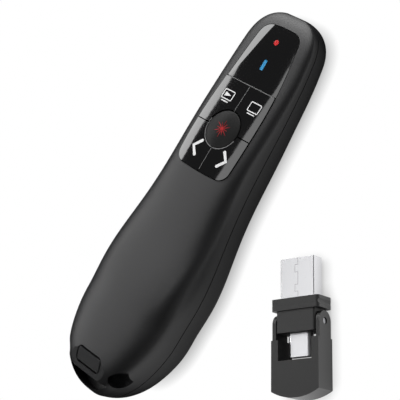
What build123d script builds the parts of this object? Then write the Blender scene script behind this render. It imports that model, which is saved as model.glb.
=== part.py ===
"""Wireless presentation clicker with its two-plug receiver, in millimetres.

The clicker lies on the flat of its belly with the keys up. +Y points to the laser outlet at the
nose, +X to the right-hand keys and +Z up. The origin is on the belly's flat, under the middle of
the length. The receiver lies beside it, on the same surface.
"""
import os
from math import atan2, cos, radians, sin, sqrt

from build123d import *

# ---- Housing form -------------------------------------------------------------------------
LENGTH = 134.0  # tail tip to nose tip
TAIL_Y = -LENGTH / 2
NOSE_Y = LENGTH / 2
SPINE_TAIL = 14.0  # height of the widest line at the tail tip
SPINE_NOSE = 8.0  # and at the nose tip
WALL = 2.0
BELLY_SINK = 0.25  # how far the curved belly would dip below its flat
SEAM_WIDTH = 0.3  # shadow gap round the joint of the two shells
SEAM_DEPTH = 0.35
# Stations along the housing: (y, half-width, crown height), before the ends are rounded.
STATIONS = [
    (TAIL_Y, 18.9, 26.4),
    (TAIL_Y + 16.0, 18.9, 25.8),
    (TAIL_Y + 36.0, 19.4, 23.6),
    (TAIL_Y + 56.0, 18.4, 20.7),
    (NOSE_Y - 58.0, 16.2, 18.4),
    (NOSE_Y - 38.0, 15.8, 15.9),
    (NOSE_Y - 22.0, 15.3, 13.3),
    (NOSE_Y, 13.0, 11.3),
]
TAIL_ROUND = 30.0  # length over which the tail rounds off, in plan and at the belly
TAIL_POWER = 2.0
CROWN_ROUND = 16.0  # the crown stays full for longer and then drops
CROWN_POWER = 2.2
NOSE_ROUND = 13.0
NOSE_POWER = 2.7
SQUARE_TAIL = 0.88  # squareness of the sections: 0.55 is an ellipse, 1 is nearly a box
SQUARE_KEYS = 0.95
SQUARE_FROM = TAIL_Y + 30.0  # the sections change from the one to the other from here
SQUARE_OVER = 65.0  # and over this length
ROUND_STEPS = 6  # sections used for each rounded end
TAIL_SETTLE = 1.12  # one more section stands here, in rounded lengths from the tail
NOSE_CLEAR = 1.3  # and none of the stations' own nearer to the nose than this
BLUNT_TAIL = 0.17  # size of the last section, as a share of the full one
BLUNT_NOSE = 0.34
NOSE_SOLID = 7.5  # the nose is solid for this far behind its tip

# ---- Key set ------------------------------------------------------------------------------
LASER_KEY_Y = NOSE_Y - 41.4  # centre of the round key
DECK_SLOPE = 7.8  # degrees that the key deck falls towards the nose
PANEL_HALF = 11.8  # half-width of the key set at the round key
PANEL_SIDE_RADIUS = 175.0
PANEL_BACK = 14.7  # from the round key back to the rear edge, along the deck
PANEL_SPLIT = 16.05  # forward to the joint between keys and window
PANEL_FRONT = 36.5  # forward to the window's front edge
PANEL_BOW = 0.6  # how far the rear and front edges bow out
PANEL_CORNER_BACK = 4.0
PANEL_CORNER_FRONT = 4.6
PANEL_GAP = 0.2  # between the key set and the shell's opening
KEY_GAP = 0.35  # between neighbouring keys
KEY_PROUD = 0.3
KEY_DEPTH = 4.3  # from the deck surface to the bottom of a key's skirt
KEY_WALL = 1.2
KEY_TRAVEL = 0.5
LIP_WIDTH = 0.7  # lip that keeps a key in the shell
LIP_HEIGHT = 0.7
LIP_TOP = 3.2  # depth of the lip's upper face under the deck surface
LASER_KEY_R = 6.4
LASER_KEY_RISE = 0.15  # the round key's edge above the deck
LASER_KEY_DOME = 0.6  # and its middle above its edge
LASER_KEY_EDGE = 0.35
STEM_R = 1.1
WINDOW_THICK = 1.1
LENS_R = 0.9  # round status lens
LENS_V = 31.7  # its distance ahead of the round key, along the deck
BAR_V = 23.7  # the same for the light bar
BAR_LENGTH = 3.5
BAR_WIDTH = 1.2
BAR_EDGE = 0.3
LENS_FIT = 0.03
LENS_FLANGE = 0.5  # collar that keeps a light pipe under the window
LENS_FLANGE_TOP = 2.5  # its depth under the deck surface
LENS_FLANGE_THICK = 0.6

# ---- Electronics --------------------------------------------------------------------------
BOARD_DEPTH = 5.4  # from the deck surface down to the board's upper face
BOARD_THICK = 1.0
BOARD_BACK = 20.0  # from the round key back to the board's rear edge
BOARD_FRONT = 33.2
BOARD_HALF = 10.5
BOARD_HALF_FRONT = 7.0
POST_R = 0.9  # posts of the top shell that the board lies against
POST_BACK = (9.0, -PANEL_BACK - 3.2)  # their places from the round key, on the right side
POST_FRONT = (5.6, 28.6)
SUPPORTS_V = (-12.0, 11.0)  # ribs of the bottom shell that carry the board
SUPPORT_HALF = 9.0
SWITCH_SIZE = 3.4
SWITCH_HEIGHT = 1.5
PLUNGER_R = 0.85
PLUNGER_FIT = 0.06
PLUNGER_REACH = 0.6  # how deep a plunger stands in its switch at rest
SWITCH_X = 6.6  # the four outer switches stand at (+-X, +-V) from the round key
SWITCH_V = 10.4
LED_HEIGHT = 0.8
LED_LENGTH = 1.6
LED_WIDTH = 0.8
LED_CLEARANCE = 0.2
SHIELD_LENGTH = 6.0
SHIELD_WIDTH = 10.0
SHIELD_HEIGHT = 1.6

# ---- Laser --------------------------------------------------------------------------------
LASER_Z = 7.15
LASER_R = 2.2
LASER_LENGTH = 6.0
LASER_FIT = 0.05
LENS_DISC = 0.8
OUTLET_R = 1.25
OUTLET_RING_R = 1.75
OUTLET_RING_DEPTH = 1.3

# ---- Battery bay --------------------------------------------------------------------------
CELL_R = 5.25
CELL_LENGTH = 44.5
CELL_NUB_R = 1.9
CELL_NUB = 1.0
CELL_GAP = 0.3
CELL_Z = 8.1
SPRING_LENGTH = 4.0
SPRING_R = 3.4
SPRING_TIP_R = 2.0
CONTACT_THICK = 0.4
CONTACT_SIZE = 7.6
BAY_FRONT = -2.6
RIB = 1.2
DOOR_SEAT = 0.6  # the door's edges lie on the bay's walls this far
DOOR_CORNER = 2.5
DOOR_GAP = 0.2
TAB_WIDTH = 4.0  # tabs at the door's front edge, which hook over the belly's wall
TAB_X = 5.0
TAB_REACH = 1.3
TAB_ROOT = 1.4
TAB_THICK = 0.8
TAB_RISE = 0.4  # from the inner floor up to the tab
TAB_NOTCH = 3.6  # height of the notches that the tabs turn in
TAB_FIT = 0.3
GRIP_R = 2.5  # hollow for a finger, near the door's rear edge
GRIP_DEPTH = 0.5
GRIP_LENGTH = 8.0
GRIP_FROM_EDGE = 3.5

# ---- Power slide switch -------------------------------------------------------------------
POWER_Y = LASER_KEY_Y - 3.6  # between the ribs that carry the board
POWER_TRAVEL = 2.0
KNOB_LENGTH = 5.0
KNOB_WIDTH = 4.0
KNOB_THICK = 0.6
KNOB_RECESS = 0.9
KNOB_CORNER = 1.0
STEM_LENGTH = 1.8
STEM_WIDTH = 1.2
STEM_TOP = 4.2
POWER_BODY_LENGTH = 8.6
POWER_BODY_WIDTH = 3.6
POWER_BODY_HEIGHT = 3.2
FLOOR_FIT = 0.02
SLIDE_FIT = 0.15

# ---- Screws -------------------------------------------------------------------------------
SCREW_R = 1.0
SCREW_LENGTH = 7.0
SCREW_HEAD_R = 1.9
SCREW_HEAD = 1.2
SCREW_SEAT = 2.4  # height of the head's seat above the belly's flat
SCREW_FIT = 0.15
SCREW_X = 11.2
SCREW_Y = 1.9
BOSS_R = 2.4
BOSS_JOINT = 5.2  # height where the two shells' bosses meet

# ---- Strap eye at the tail ----------------------------------------------------------------
STRAP_Y = TAIL_Y + 9.9
FACET_SLOPE = 18.0  # degrees that the facet leans back
FACET_CUT = 0.35  # how deep the facet is cut into the crown
FACET_WIDTH = 22.0
FACET_LENGTH = 20.0
TAIL_BLOCK = 13.6  # the top shell is solid for this far ahead of the tail tip
TUNNEL_R = 2.2
TUNNEL_BACK = 0.6  # the tunnel's axis lies this far behind the strap bar's middle
TUNNEL_DEPTH = 3.6  # from the facet to the tunnel's axis
FLARE_X = 7.5  # the tunnel's mouths start to widen here
FLARE_R = 3.8
FLARE_LENGTH = 7.0
BAR_SPAN = 11.0
BAR_DEPTH = 4.4
BAR_CORNER = 1.5
SLIT_WIDTH = 0.7
SLIT_DEPTH = 1.6
TONGUE = 1.5  # from the rear slit to the edge over the pocket
POCKET_RIM = 1.2  # wall between the pocket and the tail's outside
POCKET_FLOOR = 2.2  # height of the pocket's floor above the joint of the shells

# ---- Receiver -----------------------------------------------------------------------------
RECEIVER_X = 50.6  # where the receiver's hinge line lies beside the clicker
RECEIVER_Y = -14.8
RECEIVER_TURN = 33.0  # degrees, turned to the left of the clicker's length
BODY_WIDTH = 13.5
BODY_THICK = 6.8
BODY_BACK = 2.9  # from the hinge line to the body's rear face
BODY_FRONT = 3.8
BODY_CORNER = 0.6
COLLAR_WIDTH = 16.8
COLLAR_THICK = 7.6
COLLAR_LENGTH = 3.6
COLLAR_CORNER = 1.0
WAIST_R = 1.0  # round notch in each side of the collar
WAIST_DEPTH = 0.35
USB_A_WIDTH = 12.0
USB_A_THICK = 4.5
USB_A_LENGTH = 12.4
USB_SHEET = 0.3
USB_ROOT = 2.4  # how deep the USB-A shell stands in the collar
USB_A_TONGUE = 1.9
USB_C_WIDTH = 8.34
USB_C_THICK = 2.56
USB_C_LENGTH = 7.2
USB_C_SHEET = 0.25
USB_C_ROOT = 1.2
USB_FIT = 0.02
CORE_THICK = 0.8
CORE_INSET = USB_C_SHEET + USB_FIT
PIN_R = 1.0
PIN_FIT = 0.05
PIN_ROOT = 0.9
PIN_INSET = 0.35  # the pins' ends lie this far inside the cap's sides
CAP_WIDTH = 16.7
CAP_THICK = 7.6
CAP_ARM = 1.25
CAP_FRONT = 3.1  # the arms reach this far ahead of the hinge line
CAP_WINDOW = 11.3  # hinge line to the floor of the cap's window
CAP_LIP = 5.0  # hinge line to where the arms thicken
CAP_LIP_HALF = 5.9  # half-width between the thick arms
CAP_SIDES = 20.3  # hinge line to the cap's corners
CAP_END = 22.5  # hinge line to the middle of its end


# ---- Laws of the form ---------------------------------------------------------------------
def along(y, column):
    """Read a station column at y, on a smooth curve through the stations."""
    points = [(station[0], station[column]) for station in STATIONS]
    slopes = []
    for i in range(len(points)):
        before = points[max(i - 1, 0)]
        after = points[min(i + 1, len(points) - 1)]
        slopes.append((after[1] - before[1]) / (after[0] - before[0]))
    i = 0
    while i < len(points) - 2 and y > points[i + 1][0]:
        i += 1
    step = points[i + 1][0] - points[i][0]
    t = (y - points[i][0]) / step
    return (
        (1 + 2 * t) * (1 - t) ** 2 * points[i][1]
        + t * (1 - t) ** 2 * step * slopes[i]
        + t * t * (3 - 2 * t) * points[i + 1][1]
        + t * t * (t - 1) * step * slopes[i + 1]
    )


def rounding(distance, length, power):
    """Share of the full size at a distance from a rounded end."""
    if distance >= length:
        return 1.0
    return (1 - (1 - distance / length) ** power) ** (1 / power)


def spine(y):
    """Height of the widest line, where the two shells meet."""
    return SPINE_TAIL + (SPINE_NOSE - SPINE_TAIL) * (y - TAIL_Y) / LENGTH


def squareness(y):
    """Squareness of the section at y."""
    share = min(max((y - SQUARE_FROM) / SQUARE_OVER, 0.0), 1.0)
    return SQUARE_TAIL + (SQUARE_KEYS - SQUARE_TAIL) * share


def end_steps(blunt, power):
    """Distances from an end, as shares of the rounded length, from the blunt tip inwards."""
    last = radians(90) if blunt <= 0 else atan2(sqrt(1 - blunt**power), blunt ** (power / 2))
    angles = [last * (1 - i / ROUND_STEPS) for i in range(ROUND_STEPS)]
    return [1 - sin(angle) ** (2 / power) for angle in angles]


def form_sections(inset, nose_solid=0.0):
    """List (y, half-width, rise, drop) of the form's sections, drawn in by inset."""
    tail = TAIL_Y + inset
    nose = NOSE_Y - max(inset, nose_solid)
    tail_round = TAIL_ROUND - inset
    crown_round = CROWN_ROUND - inset
    nose_round = NOSE_ROUND - inset if nose_solid == 0 else NOSE_SOLID
    tail_cut = end_steps(BLUNT_TAIL, TAIL_POWER)
    nose_cut = end_steps(BLUNT_NOSE, NOSE_POWER)
    tail_scale = 1 / (1 - tail_cut[0])
    nose_scale = 1 / (1 - nose_cut[0])
    places = [tail + (share - tail_cut[0]) * tail_round * tail_scale for share in tail_cut]
    places += [tail + tail_round * TAIL_SETTLE]
    places += [station[0] for station in STATIONS[3:7] if station[0] < nose - nose_round * NOSE_CLEAR]
    places += [nose - nose_round]
    places += [nose - (share - nose_cut[0]) * nose_round * nose_scale for share in reversed(nose_cut)]
    sections = []
    for y in places:
        from_tail = (y - tail) / tail_scale + tail_cut[0] * tail_round
        from_nose = (nose - y) / nose_scale + nose_cut[0] * nose_round
        plan = rounding(from_tail, tail_round, TAIL_POWER)
        crown = rounding(from_tail, crown_round, CROWN_POWER)
        front = rounding(from_nose, nose_round, NOSE_POWER)
        half = (along(y, 1) - inset) * plan * front
        rise = (along(y, 2) - inset - spine(y)) * crown * front
        drop = (spine(y) + BELLY_SINK - inset) * plan * front
        sections.append((y, half, rise, drop))
    return sections


def housing_form(inset, nose_solid=0.0):
    """Loft the housing form, drawn in by inset on every side."""
    with BuildPart() as form:
        for y, half, rise, drop in form_sections(inset, nose_solid):
            k = squareness(y)
            z = spine(y)
            with BuildSketch(Plane.XZ.offset(-y)):
                with BuildLine():
                    Bezier((0, z + rise), (k * half, z + rise), (half, z + k * rise), (half, z))
                    Bezier((half, z), (half, z - k * drop), (k * half, z - drop), (0, z - drop))
                    Bezier((0, z - drop), (-k * half, z - drop), (-half, z - k * drop), (-half, z))
                    Bezier((-half, z), (-half, z + k * rise), (-k * half, z + rise), (0, z + rise))
                make_face()
        loft()
    return form.part


with BuildPart() as outer_form:
    add(housing_form(0.0))
    with Locations((0, 0, -LENGTH / 2)):
        Box(LENGTH, 2 * LENGTH, LENGTH, mode=Mode.SUBTRACT)

with BuildPart() as inner_form:
    add(housing_form(WALL, NOSE_SOLID))

with BuildPart() as proud_form:
    add(housing_form(-KEY_PROUD))

with BuildPart() as window_floor:
    add(housing_form(WINDOW_THICK))

# ---- Key deck -----------------------------------------------------------------------------
DECK = Plane(
    origin=(0, LASER_KEY_Y, along(LASER_KEY_Y, 2)),
    x_dir=(1, 0, 0),
    z_dir=(0, sin(radians(DECK_SLOPE)), cos(radians(DECK_SLOPE))),
)
PARTING = Plane(
    origin=(0, TAIL_Y, SPINE_TAIL),
    x_dir=(1, 0, 0),
    z_dir=(0, (SPINE_TAIL - SPINE_NOSE) / LENGTH, 1),
)
ABOVE = 5.0  # cutting tools start this far above the deck


def panel_outline(grow):
    """Outline of the whole key set, grown on every side."""
    back = -PANEL_BACK - grow
    front = PANEL_FRONT + grow
    radius = PANEL_SIDE_RADIUS + grow
    back_half = PANEL_HALF - PANEL_SIDE_RADIUS + sqrt(radius**2 - back**2)
    front_half = PANEL_HALF - PANEL_SIDE_RADIUS + sqrt(radius**2 - front**2)
    middle_half = PANEL_HALF + grow
    with BuildSketch() as outline:
        with BuildLine():
            ThreePointArc((-back_half, back), (0, back - PANEL_BOW), (back_half, back))
            ThreePointArc((back_half, back), (middle_half, 0), (front_half, front))
            ThreePointArc((front_half, front), (0, front + PANEL_BOW), (-front_half, front))
            ThreePointArc((-front_half, front), (-middle_half, 0), (-back_half, back))
        make_face()
        fillet(outline.vertices().group_by(Axis.Y)[0], PANEL_CORNER_BACK + grow)
        fillet(outline.vertices().group_by(Axis.Y)[-1], PANEL_CORNER_FRONT + grow)
    return outline.sketch


def keys_outline(grow):
    """Outline of the part of the set that the keys fill."""
    with BuildSketch() as outline:
        add(panel_outline(grow))
        with Locations((0, PANEL_SPLIT - LENGTH / 2)):
            Rectangle(LENGTH, LENGTH, mode=Mode.INTERSECT)
    return outline.sketch


def window_outline(grow):
    """Outline of the part of the set that the window fills."""
    with BuildSketch() as outline:
        add(panel_outline(grow))
        with Locations((0, PANEL_SPLIT - grow + LENGTH / 2)):
            Rectangle(LENGTH, LENGTH, mode=Mode.INTERSECT)
    return outline.sketch


def corner_outline(side, end, grow, inset=0.0):
    """Outline of one corner key: side is -1 left or 1 right, end is -1 rear or 1 front.

    It is grown at the shell's opening, and drawn in by inset all round.
    """
    reach = (LENGTH + KEY_GAP) / 2 + inset
    with BuildSketch() as outline:
        add(keys_outline(grow - inset))
        with Locations((side * reach, end * reach)):
            Rectangle(LENGTH, LENGTH, mode=Mode.INTERSECT)
        if end > 0:
            with Locations((0, PANEL_SPLIT - KEY_GAP / 2 - inset - LENGTH / 2)):
                Rectangle(LENGTH, LENGTH, mode=Mode.INTERSECT)
        Circle(LASER_KEY_R + KEY_GAP + inset, mode=Mode.SUBTRACT)
    return outline.sketch


# ---- Shells -------------------------------------------------------------------------------
with BuildPart() as window_pocket:
    with BuildSketch(DECK.offset(ABOVE)):
        add(window_outline(0.0))
    extrude(amount=-ABOVE - KEY_DEPTH)
    add(window_floor.part, mode=Mode.SUBTRACT)


def crown_height(y):
    """Height of the rounded crown over the tail at y."""
    rise = (along(y, 2) - spine(y)) * rounding(y - TAIL_Y, CROWN_ROUND, CROWN_POWER)
    return spine(y) + rise


FACET = Plane(
    origin=(0, STRAP_Y, crown_height(STRAP_Y) - FACET_CUT),
    x_dir=(1, 0, 0),
    z_dir=(0, -sin(radians(FACET_SLOPE)), cos(radians(FACET_SLOPE))),
)
TUNNEL_Y = STRAP_Y - TUNNEL_BACK
TUNNEL_Z = FACET.origin.Z - TUNNEL_DEPTH

with BuildPart() as tail_block:
    add(outer_form.part)
    split(bisect_by=PARTING, keep=Keep.TOP)
    split(bisect_by=Plane.XZ.offset(-TAIL_Y - TAIL_BLOCK), keep=Keep.TOP)

with BuildPart() as tail_cuts:
    # flat facet across the crown
    with BuildSketch(FACET):
        Rectangle(FACET_WIDTH, FACET_LENGTH)
    extrude(amount=ABOVE)
    # tunnel for a strap, with flared mouths
    with BuildSketch(Plane.YZ.offset(-LENGTH / 2)):
        with Locations((TUNNEL_Y, TUNNEL_Z)):
            Circle(TUNNEL_R)
    extrude(amount=LENGTH)
    for side in (-1, 1):
        mouth = (side * (FLARE_X + FLARE_LENGTH / 2), TUNNEL_Y, TUNNEL_Z)
        with Locations(Location(mouth, (0, side * 90, 0))):
            Cone(TUNNEL_R, FLARE_R, FLARE_LENGTH)
    # crescent pocket between the tongue of the facet and the tail's rim
    with BuildSketch(Plane.XY.offset(SPINE_TAIL + POCKET_FLOOR)):
        with Locations((0, TAIL_Y + TAIL_ROUND)):
            Ellipse(STATIONS[0][1] - POCKET_RIM, TAIL_ROUND - POCKET_RIM)
        with Locations((0, STRAP_Y - BAR_DEPTH / 2 - SLIT_WIDTH - TONGUE - LENGTH / 2)):
            Rectangle(LENGTH, LENGTH, mode=Mode.INTERSECT)
    extrude(amount=LENGTH)
    # two slits, one on each side of the strap bar
    with BuildSketch(FACET):
        RectangleRounded(BAR_SPAN, BAR_DEPTH + 2 * SLIT_WIDTH, BAR_CORNER)
        Rectangle(BAR_SPAN, BAR_DEPTH, mode=Mode.SUBTRACT)
    extrude(amount=-SLIT_DEPTH)

with BuildPart() as laser_bore:
    with BuildSketch(Plane.XZ.offset(-NOSE_Y - 1)):
        with Locations((0, LASER_Z)):
            Circle(OUTLET_RING_R + LASER_FIT)
    extrude(amount=OUTLET_RING_DEPTH + LASER_FIT + 1)
    with BuildSketch(Plane.XZ.offset(-NOSE_Y + OUTLET_RING_DEPTH)):
        with Locations((0, LASER_Z)):
            Circle(LASER_R + LASER_FIT)
    extrude(amount=NOSE_SOLID)


def posts(place):
    """Make the pair of posts at a place and its mirror image, from the shell down to the board."""
    x, v = place
    with BuildPart() as pair:
        with BuildSketch(DECK.offset(-BOARD_DEPTH)):
            with Locations((-x, v), (x, v)):
                Circle(POST_R)
        extrude(amount=BOARD_DEPTH - WALL)
    return pair.part


SCREW_SPOTS = [(-SCREW_X, SCREW_Y), (SCREW_X, SCREW_Y)]

with BuildPart() as top_shell:
    add(outer_form.part)
    add(inner_form.part, mode=Mode.SUBTRACT)
    split(bisect_by=PARTING, keep=Keep.TOP)
    add(tail_block.part)
    add(posts(POST_BACK))
    add(posts(POST_FRONT))
    # bosses that the screws bite into
    with BuildSketch(Plane.XY.offset(BOSS_JOINT)):
        with Locations(*SCREW_SPOTS):
            Circle(BOSS_R)
    extrude(amount=along(SCREW_Y, 2) - BOSS_JOINT - WALL)
    with BuildSketch(Plane.XY.offset(BOSS_JOINT)):
        with Locations(*SCREW_SPOTS):
            Circle(SCREW_R)
    extrude(amount=SCREW_LENGTH, mode=Mode.SUBTRACT)
    # opening for the keys
    with BuildSketch(DECK.offset(ABOVE)):
        add(keys_outline(0.0))
    extrude(amount=-ABOVE - KEY_DEPTH, mode=Mode.SUBTRACT)
    # pocket for the window, and holes in its floor for the light pipes
    add(window_pocket.part, mode=Mode.SUBTRACT)
    with BuildSketch(DECK.offset(-LENS_FLANGE_TOP - LENS_FLANGE_THICK)):
        with Locations((0, LENS_V)):
            Circle(LENS_R + LENS_FIT)
        with Locations((0, BAR_V)):
            RectangleRounded(BAR_WIDTH + 2 * LENS_FIT, BAR_LENGTH + 2 * LENS_FIT, BAR_EDGE + LENS_FIT)
    extrude(amount=ABOVE, mode=Mode.SUBTRACT)
    add(tail_cuts.part, mode=Mode.SUBTRACT)
    add(laser_bore.part, mode=Mode.SUBTRACT)
top_shell.part.label = "top_shell"

CELL_X = CELL_R + CELL_GAP / 2  # the two cells lie side by side
CELL_FRONT = BAY_FRONT - CONTACT_THICK
CELL_SPOTS = [(-CELL_X, CELL_Z), (CELL_X, CELL_Z)]
BAY_LENGTH = CELL_LENGTH + SPRING_LENGTH + 2 * CONTACT_THICK
BAY_REAR = BAY_FRONT - BAY_LENGTH
BAY_HALF = CELL_X + CELL_R + CELL_GAP
BAY_TOP = CELL_Z + CELL_R + CELL_GAP + RIB
DOOR_REAR = BAY_REAR - DOOR_SEAT
DOOR_FRONT = BAY_FRONT + DOOR_SEAT
DOOR_HALF = BAY_HALF + DOOR_SEAT
FLOOR = WALL - BELLY_SINK  # height of the housing's inner floor
TABS = [(-TAB_X, 0), (TAB_X, 0)]

with BuildPart() as tray:
    with BuildSketch(Plane.XZ.offset(-BAY_FRONT - RIB)):
        with Locations((0, BAY_TOP / 2)):
            Rectangle(2 * BAY_HALF + 2 * RIB, BAY_TOP)
    extrude(amount=BAY_LENGTH + 2 * RIB)
    add(outer_form.part, mode=Mode.INTERSECT)

with BuildPart() as screw_seats:
    with BuildSketch(Plane.XY):
        with Locations(*SCREW_SPOTS):
            Circle(BOSS_R)
    extrude(amount=BOSS_JOINT)
    add(outer_form.part, mode=Mode.INTERSECT)

with BuildPart() as board_supports:
    with BuildSketch(DECK.offset(-BOARD_DEPTH - BOARD_THICK)):
        with Locations(*[(0, v) for v in SUPPORTS_V]):
            Rectangle(2 * SUPPORT_HALF, RIB)
    extrude(amount=-DECK.origin.Z)
    add(outer_form.part, mode=Mode.INTERSECT)


def door_form(gap):
    """Make the piece of the belly that the door fills, drawn in by gap at its edges."""
    with BuildPart() as piece:
        with BuildSketch(Plane.XY.offset(-1)):
            with Locations((0, (DOOR_REAR + DOOR_FRONT) / 2)):
                RectangleRounded(
                    2 * (DOOR_HALF - gap), DOOR_FRONT - DOOR_REAR - 2 * gap, DOOR_CORNER - gap
                )
        extrude(amount=SPINE_NOSE)
        add(outer_form.part, mode=Mode.INTERSECT)
        add(inner_form.part, mode=Mode.SUBTRACT)
        with BuildSketch(Plane.XZ.offset(-BAY_FRONT)):
            with Locations(*CELL_SPOTS):
                Circle(CELL_R + CELL_GAP)
        extrude(amount=BAY_LENGTH, mode=Mode.SUBTRACT)
    return piece.part


with BuildPart() as seam:
    add(outer_form.part)
    add(housing_form(SEAM_DEPTH), mode=Mode.SUBTRACT)
    split(bisect_by=PARTING, keep=Keep.BOTTOM)
    split(bisect_by=PARTING.offset(-SEAM_WIDTH), keep=Keep.TOP)

with BuildPart() as bottom_shell:
    add(outer_form.part)
    add(inner_form.part, mode=Mode.SUBTRACT)
    split(bisect_by=PARTING, keep=Keep.BOTTOM)
    add(tray.part)
    add(screw_seats.part)
    add(board_supports.part)
    # counterbores for the screws
    with BuildSketch(Plane.XY):
        with Locations(*SCREW_SPOTS):
            Circle(SCREW_HEAD_R + SCREW_FIT)
    extrude(amount=SCREW_SEAT, mode=Mode.SUBTRACT)
    with BuildSketch(Plane.XY):
        with Locations(*SCREW_SPOTS):
            Circle(SCREW_R + SCREW_FIT)
    extrude(amount=BOSS_JOINT, mode=Mode.SUBTRACT)
    # bay for the two cells, open to the belly
    with BuildSketch(Plane.XZ.offset(-BAY_FRONT)):
        with Locations((0, CELL_Z / 2)):
            Rectangle(2 * BAY_HALF, CELL_Z)
        with Locations(*CELL_SPOTS):
            Circle(CELL_R + CELL_GAP)
        with Locations((0, CELL_Z)):
            Rectangle(2 * CELL_X, CELL_R)
    extrude(amount=BAY_LENGTH, mode=Mode.SUBTRACT)
    # opening for the door, whose edges lie on the bay's walls
    add(door_form(0.0), mode=Mode.SUBTRACT)
    # notches for the door's tabs
    with BuildSketch(Plane.XZ.offset(-BAY_FRONT - RIB - TAB_FIT)):
        with Locations((0, (FLOOR + TAB_NOTCH) / 2)):
            with Locations(*TABS):
                Rectangle(TAB_WIDTH + 2 * TAB_FIT, TAB_NOTCH - FLOOR)
    extrude(amount=RIB + 2 * TAB_FIT, mode=Mode.SUBTRACT)
    # recess and slot of the power knob
    with BuildSketch(Plane.XY):
        with Locations((0, POWER_Y)):
            RectangleRounded(
                KNOB_WIDTH + 2 * SLIDE_FIT, KNOB_LENGTH + POWER_TRAVEL + 2 * SLIDE_FIT, KNOB_CORNER
            )
    extrude(amount=KNOB_RECESS, mode=Mode.SUBTRACT)
    with BuildSketch(Plane.XY):
        with Locations((0, POWER_Y)):
            Rectangle(STEM_WIDTH + 2 * SLIDE_FIT, STEM_LENGTH + POWER_TRAVEL + 2 * SLIDE_FIT)
    extrude(amount=WALL, mode=Mode.SUBTRACT)
    add(seam.part, mode=Mode.SUBTRACT)
    add(laser_bore.part, mode=Mode.SUBTRACT)
bottom_shell.part.label = "bottom_shell"

DOOR_EDGE = DOOR_FRONT - DOOR_GAP  # the door turns about the lower corner of its front edge

with BuildPart() as battery_door:
    add(door_form(DOOR_GAP))
    # tabs that hook over the belly's wall
    with BuildSketch(Plane.XY.offset(FLOOR / 2)):
        with Locations((0, DOOR_EDGE - TAB_ROOT / 2)):
            with Locations(*TABS):
                Rectangle(TAB_WIDTH, TAB_ROOT)
    extrude(amount=FLOOR / 2 + TAB_RISE + TAB_THICK)
    with BuildSketch(Plane.XY.offset(FLOOR + TAB_RISE)):
        with Locations((0, DOOR_EDGE + TAB_REACH / 2)):
            with Locations(*TABS):
                Rectangle(TAB_WIDTH, TAB_REACH)
    extrude(amount=TAB_THICK)
    # hollow for a finger
    with BuildSketch(Plane.YZ.offset(-GRIP_LENGTH / 2)):
        with Locations((DOOR_REAR + GRIP_FROM_EDGE, GRIP_DEPTH - GRIP_R)):
            Circle(GRIP_R)
    extrude(amount=GRIP_LENGTH, mode=Mode.SUBTRACT)
battery_door.part.label = "battery_door"

# ---- Window and light pipes ---------------------------------------------------------------
with BuildPart() as indicator_window:
    with BuildSketch(DECK.offset(ABOVE)):
        add(window_outline(-PANEL_GAP))
    extrude(amount=-ABOVE - KEY_DEPTH)
    add(outer_form.part, mode=Mode.INTERSECT)
    add(window_floor.part, mode=Mode.SUBTRACT)
    with BuildSketch(DECK.offset(ABOVE)):
        with Locations((0, LENS_V)):
            Circle(LENS_R + LENS_FIT)
        with Locations((0, BAR_V)):
            RectangleRounded(BAR_WIDTH + 2 * LENS_FIT, BAR_LENGTH + 2 * LENS_FIT, BAR_EDGE + LENS_FIT)
    extrude(amount=-ABOVE - KEY_DEPTH, mode=Mode.SUBTRACT)
indicator_window.part.label = "indicator_window"

LED_TOP = BOARD_DEPTH - LED_HEIGHT - LED_CLEARANCE

with BuildPart() as status_lens:
    with BuildSketch(DECK.offset(-LED_TOP)):
        with Locations((0, LENS_V)):
            Circle(LENS_R)
    extrude(amount=LED_TOP + ABOVE)
    with BuildSketch(DECK.offset(-LENS_FLANGE_TOP - LENS_FLANGE_THICK)):
        with Locations((0, LENS_V)):
            Circle(LENS_R + LENS_FLANGE)
    extrude(amount=LENS_FLANGE_THICK)
    add(outer_form.part, mode=Mode.INTERSECT)
status_lens.part.label = "status_lens"

with BuildPart() as signal_bar:
    with BuildSketch(DECK.offset(-LED_TOP)):
        with Locations((0, BAR_V)):
            RectangleRounded(BAR_WIDTH, BAR_LENGTH, BAR_EDGE)
    extrude(amount=LED_TOP + ABOVE)
    with BuildSketch(DECK.offset(-LENS_FLANGE_TOP - LENS_FLANGE_THICK)):
        with Locations((0, BAR_V)):
            RectangleRounded(BAR_WIDTH + 2 * LENS_FLANGE, BAR_LENGTH + 2 * LENS_FLANGE, LENS_FLANGE)
    extrude(amount=LENS_FLANGE_THICK)
    add(outer_form.part, mode=Mode.INTERSECT)
signal_bar.part.label = "signal_bar"

# ---- Keys ---------------------------------------------------------------------------------
SWITCH_TOP = BOARD_DEPTH - SWITCH_HEIGHT


def corner_key(side, end, name):
    """Make one corner key: a crowned cap with a skirt, a retaining lip and a stem."""
    with BuildPart() as key:
        with BuildSketch(DECK.offset(-KEY_DEPTH)):
            add(corner_outline(side, end, -PANEL_GAP))
        extrude(amount=KEY_DEPTH + ABOVE)
        add(proud_form.part, mode=Mode.INTERSECT)
        with BuildSketch(DECK.offset(-LIP_TOP - LIP_HEIGHT)):
            add(corner_outline(side, end, LIP_WIDTH - PANEL_GAP))
        extrude(amount=LIP_HEIGHT)
        with BuildSketch(DECK.offset(-KEY_DEPTH)):
            add(corner_outline(side, end, -PANEL_GAP, KEY_WALL))
        extrude(amount=KEY_DEPTH - 2 * KEY_WALL, mode=Mode.SUBTRACT)
        with BuildSketch(DECK.offset(-SWITCH_TOP + KEY_TRAVEL + SLIDE_FIT)):
            with Locations((side * SWITCH_X, end * SWITCH_V)):
                Circle(STEM_R)
        extrude(amount=SWITCH_TOP - KEY_TRAVEL - SLIDE_FIT - KEY_WALL)
    key.part.label = name
    return key.part


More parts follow.
